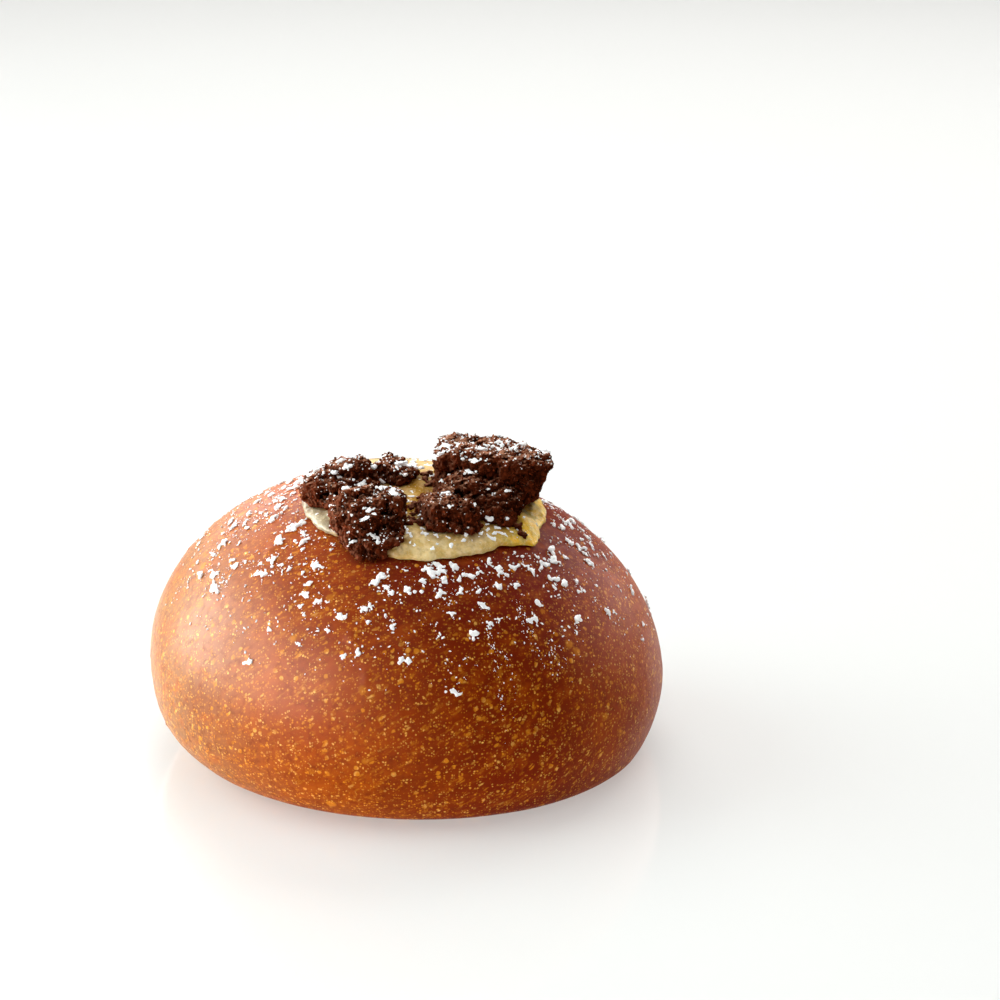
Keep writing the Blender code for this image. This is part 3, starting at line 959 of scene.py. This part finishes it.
def custard_finish():
    """Baked custard: pale beige skin, clear yellow where it is thick, brown where crumb lies."""
    made = Finish("custard", Roughness=0.32, Specular_IOR_Level=0.06, Subsurface_Weight=0.25,
                  Subsurface_Scale=1.0 * MM, Subsurface_Radius=(1.0, 0.6, 0.25))
    place = made.add("ShaderNodeSeparateXYZ", {0: made.coords})
    across, deep = place.outputs[0], place.outputs[1]
    stain = made.add("ShaderNodeAttribute", attribute_name="stain").outputs["Fac"]
    blotch = made.noise(5 * MM, 4)
    fine = made.noise(0.9 * MM, 4)

    right = made.span(across, 13 * MM, 21 * MM)
    behind = made.span(deep, -21 * MM, -16 * MM)
    far = made.span(deep, -2 * MM, 8 * MM, 0, 0.85)
    front = made.span(deep, -3 * MM, -10 * MM, 0, 0.9)
    # Painted sheen: the cream at the left front is paler and whiter, washed by the left light.
    left = made.maths("MULTIPLY", made.span(across, -10 * MM, -14 * MM), front)
    yellow = made.maths("ADD", right, behind, clamp=True)
    yellow = made.maths("MULTIPLY", yellow, made.span(blotch, 0.35, 0.6, 0.60, 1.0))
    cream = made.blend(made.span(made.noise(2.2 * MM, 4), 0.40, 0.62), CREAM, PALE_CREAM)
    amber = made.blend(made.span(made.noise(2.5 * MM, 3), 0.42, 0.6), AMBER, PALE_AMBER)
    base = made.blend(yellow, cream, CLEAR_YELLOW)
    base = made.blend(far, base, FAR_CREAM)
    # The thick right fold: its own amber, made brighter as painted light shining through it.
    base = made.blend(right, base, amber)
    base = made.blend(left, base, LEFT_CREAM)
    base = made.blend(made.span(fine, 0.4, 0.75, 0, 0.4), base, DIMPLE_BROWN)
    grainy = made.noise(0.35 * MM, 3)
    base = made.blend(made.span(grainy, 0.52, 0.68, 0, 0.45), base, CURD)
    brown = made.maths("MULTIPLY", stain, made.span(made.noise(1.6 * MM, 3), 0.35, 0.6, 0.3, 1.0))
    base = made.blend(brown, base, STAIN_BROWN)
    made.colour(base)
    raised = made.maths("ADD", made.maths("ADD", fine, blotch), made.maths("MULTIPLY", grainy, 0.6))
    made.bump(raised, 0.16 * MM, 0.8)
    return made.material


def crumb_finish():
    """Chocolate crumb: painted shade near black in its pits, red-brown on its grains, partly as a painted
    highlight, dusty on its tops and painted light on its left sides.
    """
    made = Finish("chocolate_crumb", Roughness=0.9, Specular_IOR_Level=0.0)
    shade = made.noise(0.7 * MM, 5, roughness=0.65)
    patch = made.noise(4.5 * MM, 3)
    warmth = made.maths("MULTIPLY", made.span(shade, 0.35, 0.72), made.span(patch, 0.3, 0.7, 0.35, 1.0))
    base = made.blend(warmth, CHOCOLATE, WARM_CHOCOLATE)
    out = made.add("ShaderNodeAttribute", attribute_name="height").outputs["Fac"]
    # Painted shade: points that lie deep below the core turn near black.
    base = made.blend(made.span(out, -0.85, -0.02), PIT_SHADE, base)
    # Painted highlight: grains that stand out from the core turn red-brown.
    base = made.blend(made.span(out, -0.1, 0.3, 0, 0.5), base, WARM_CHOCOLATE)

    right, _, up = made.add("ShaderNodeSeparateXYZ", {0: made.normal}).outputs
    level = made.add("ShaderNodeSeparateXYZ", {0: made.coords}).outputs[2]
    patchy = made.span(made.noise(0.8 * MM, 4), 0.38, 0.62, 0.3, 0.85)
    high = made.maths("MULTIPLY", patchy, made.span(level, *DUST_LEVELS, 0.35, 1.0))
    base = made.blend(made.maths("MULTIPLY", made.span(up, 0.55, 0.95), high), base, DUSTED_TOP)
    # Painted light: faces that look left, towards the left light, turn lighter and redder.
    lit_left_faces = made.maths("MULTIPLY", patchy, made.span(right, -0.2, -0.9, 0, 0.55))
    base = made.blend(lit_left_faces, base, LIT_LEFT_SIDE)
    made.colour(base)
    made.bump(made.noise(0.30 * MM, 4), 0.14 * MM, 0.9)
    return made.material


def grain_finish():
    """The loose grains, a little lighter than the crumb that they stand on."""
    made = Finish("crumb_grains", Roughness=0.9, Specular_IOR_Level=0.0)
    shade = made.noise(0.9 * MM, 3)
    made.colour(made.blend(made.span(shade, 0.35, 0.65), GRAIN, WARM_GRAIN))
    made.bump(made.noise(0.2 * MM, 3), 0.06 * MM, 0.8)
    return made.material


def sugar_finish():
    """Chalky icing sugar, with a faint glow of painted light that brightens it where it lies in shade."""
    made = Finish("icing_sugar", Roughness=0.85, Specular_IOR_Level=0.04, Subsurface_Weight=0.3,
                  Subsurface_Scale=0.35 * MM, Subsurface_Radius=(1.0, 0.95, 0.9),
                  Emission_Color=(1, 0.97, 0.93, 1), Emission_Strength=0.10)
    chalk = made.noise(0.3 * MM, 4)
    made.colour(made.blend(made.span(chalk, 0.3, 0.7), SUGAR_SHADE, SUGAR_WHITE))
    made.bump(chalk, 0.06 * MM, 0.7)
    return made.material


def floor_finish():
    """A white acrylic sheet that glows a little, as over a light table."""
    made = Finish("white_floor", Roughness=0.10, Emission_Color=(1, 0.99, 0.965, 1), Emission_Strength=0.42)
    made.colour(made.blend(made.noise(400 * MM, 2), FLOOR_SHADE, FLOOR_WHITE))
    return made.material


# ---------------------------------------------------------------- studio

def softbox(name, place, size, power, aim=(0, 0, 0.03), colour=(1, 1, 1), diffuse=True, glossy=True):
    """An area light, which can be kept out of the diffuse or the glossy light."""
    data = bpy.data.lights.new(name, "AREA")
    data.shape = "RECTANGLE"
    data.size, data.size_y = size
    data.energy = power
    data.color = colour
    made = bpy.data.objects.new(name, data)
    bpy.context.scene.collection.objects.link(made)
    made.location = place
    made.visible_diffuse = diffuse
    made.visible_glossy = glossy
    made.rotation_euler = (Vector(aim) - Vector(place)).to_track_quat("-Z", "Y").to_euler()


def make_camera(scene):
    """The photo's angle and lens."""
    camera = bpy.data.cameras.new("camera")
    camera.lens = CAMERA_LENS
    camera.sensor_width = SENSOR_WIDTH
    holder = bpy.data.objects.new("camera", camera)
    scene.collection.objects.link(holder)
    holder.location = CAMERA_PLACE
    holder.rotation_euler = (CAMERA_PITCH, 0, 0)
    scene.camera = holder


def make_sky(scene):
    """White light from all round, brighter on one side."""
    world = bpy.data.worlds.new("studio")
    world.use_nodes = True
    scene.world = world
    tree = world.node_tree
    background = tree.nodes["Background"]
    coords = tree.nodes.new("ShaderNodeTexCoord")
    towards = tree.nodes.new("ShaderNodeVectorMath")
    towards.operation = "DOT_PRODUCT"
    towards.inputs[1].default_value = Vector(SKY_TOWARDS).normalized()
    shade = tree.nodes.new("ShaderNodeMapRange")
    shade.interpolation_type = "SMOOTHSTEP"
    for key, value in zip(("From Min", "From Max", "To Min", "To Max"), (*SKY_SPAN, SKY_DIM, SKY_BRIGHT)):
        shade.inputs[key].default_value = value
    tree.links.new(coords.outputs["Generated"], towards.inputs[0])
    tree.links.new(towards.outputs["Value"], shade.inputs["Value"])
    tree.links.new(shade.outputs[0], background.inputs["Strength"])


def make_softboxes():
    """Soft light from the left, the back and the top, and large sheens at the sides."""
    softbox("left", (-0.62, 0.10, 0.42), (0.75, 0.55), 7.0, colour=COOL_WHITE, glossy=False)
    softbox("left_sheen", (-0.74, -0.20, 0.23), (1.50, 0.80), 265, diffuse=False)
    softbox("left_back_sheen", (-0.55, 0.75, 0.45), (0.90, 0.60), 20, diffuse=False)
    softbox("right_sheen", (0.66, 0.45, 0.30), (0.80, 0.50), 10, diffuse=False)
    softbox("back", (0.10, 0.85, 0.75), (1.2, 0.5), 13, (0, 0.25, 0), glossy=False)
    softbox("top", (0.05, -0.05, 1.20), (1.3, 1.3), 10, glossy=False)


def make_floor():
    """A plain floor."""
    bm = bmesh.new()
    bmesh.ops.create_grid(bm, x_segments=1, y_segments=1, size=FLOOR_HALF)
    floor = piece("floor", bm, floor_finish(), smooth=False)
    floor.location.z = -FLOOR_DROP


def make_studio():
    """The camera, the surrounding light, the softboxes and the floor."""
    scene = bpy.context.scene
    scene.view_settings.view_transform = "Standard"
    scene.view_settings.look = "None"
    make_camera(scene)
    make_sky(scene)
    make_softboxes()
    make_floor()


# ---------------------------------------------------------------- the brioche

def place(obj, slot, *nodes):
    """Rides a piece on the body and hides the nodes that it replaces. The slot is not used."""
    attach(obj, "root")
    if nodes:
        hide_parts(*nodes)


def main():
    """The whole picture: studio, bun, chunks, custard, crumbs and sugar."""
    make_studio()
    ground = uncut_crust()
    crumb = crumb_finish()
    sugar = sugar_finish()

    bun = make_bun(crust_finish())
    place(bun, "crust", "bun")
    chunks = [make_chunk(name, crumb) for name in CHUNK_NAMES]
    for name, chunk in zip(CHUNK_NAMES, chunks):
        place(chunk, "chocolate_crumb", name)
    trees = [tree_of(chunk) for chunk in chunks]
    custard = make_custard(ground, trees, custard_finish())
    place(custard, "custard", "custard")

    place(make_granules(chunks, grain_finish()), "chocolate_crumb")
    clumps, spots = make_crust_sugar(ground, sugar)
    place(clumps, "crust")
    place(make_crust_dust(ground, spots, sugar), "crust")
    place(make_smears(ground, sugar), "crust")
    custard_tree = tree_of(custard)
    place(make_loose_crumbs(custard_tree, crumb), "chocolate_crumb")
    place(make_custard_sugar(custard_tree, trees, sugar), "custard")
    place(make_chunk_sugar(trees, sugar), "chocolate_crumb")
    place(make_chunk_dust(trees, sugar), "chocolate_crumb")


main()
